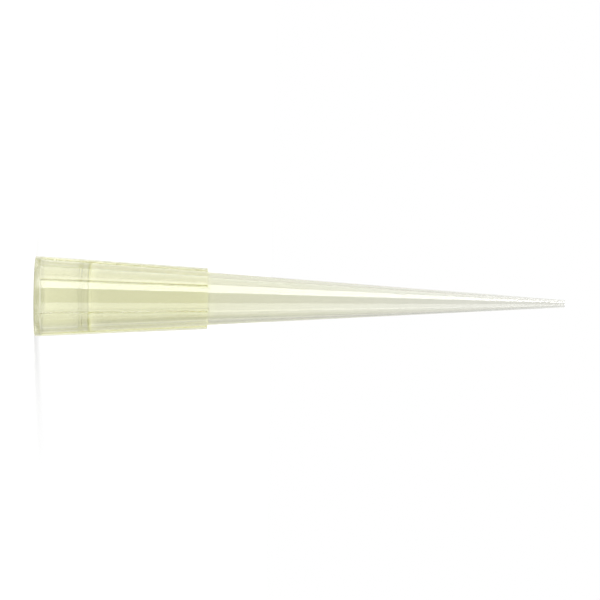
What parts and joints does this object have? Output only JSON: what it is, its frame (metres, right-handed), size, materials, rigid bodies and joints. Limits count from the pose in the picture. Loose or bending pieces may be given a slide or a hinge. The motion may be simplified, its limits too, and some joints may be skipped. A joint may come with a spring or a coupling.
{
  "type": "pipette tip",
  "caption": "Tapered, hollow, disposable pipette tip with a ribbed collar, a plain rim and an inner seal bead, moulded in one piece.",
  "frame": {"origin": "centre of the mouth, in the plane of its rim, on which the tip stands", "axes": "+Z along the tip's axis, from the mouth to the nozzle; +X through the middle of one rib"},
  "size_m": [0.0078, 0.0078, 0.051],
  "materials": {
    "yellow_polypropylene": "smooth, glossy, slightly hazy natural polypropylene with a pale yellow tint"
  },
  "bodies": {
    "root": {"pipette_tip": "yellow_polypropylene"}
  },
  "joints": []
}
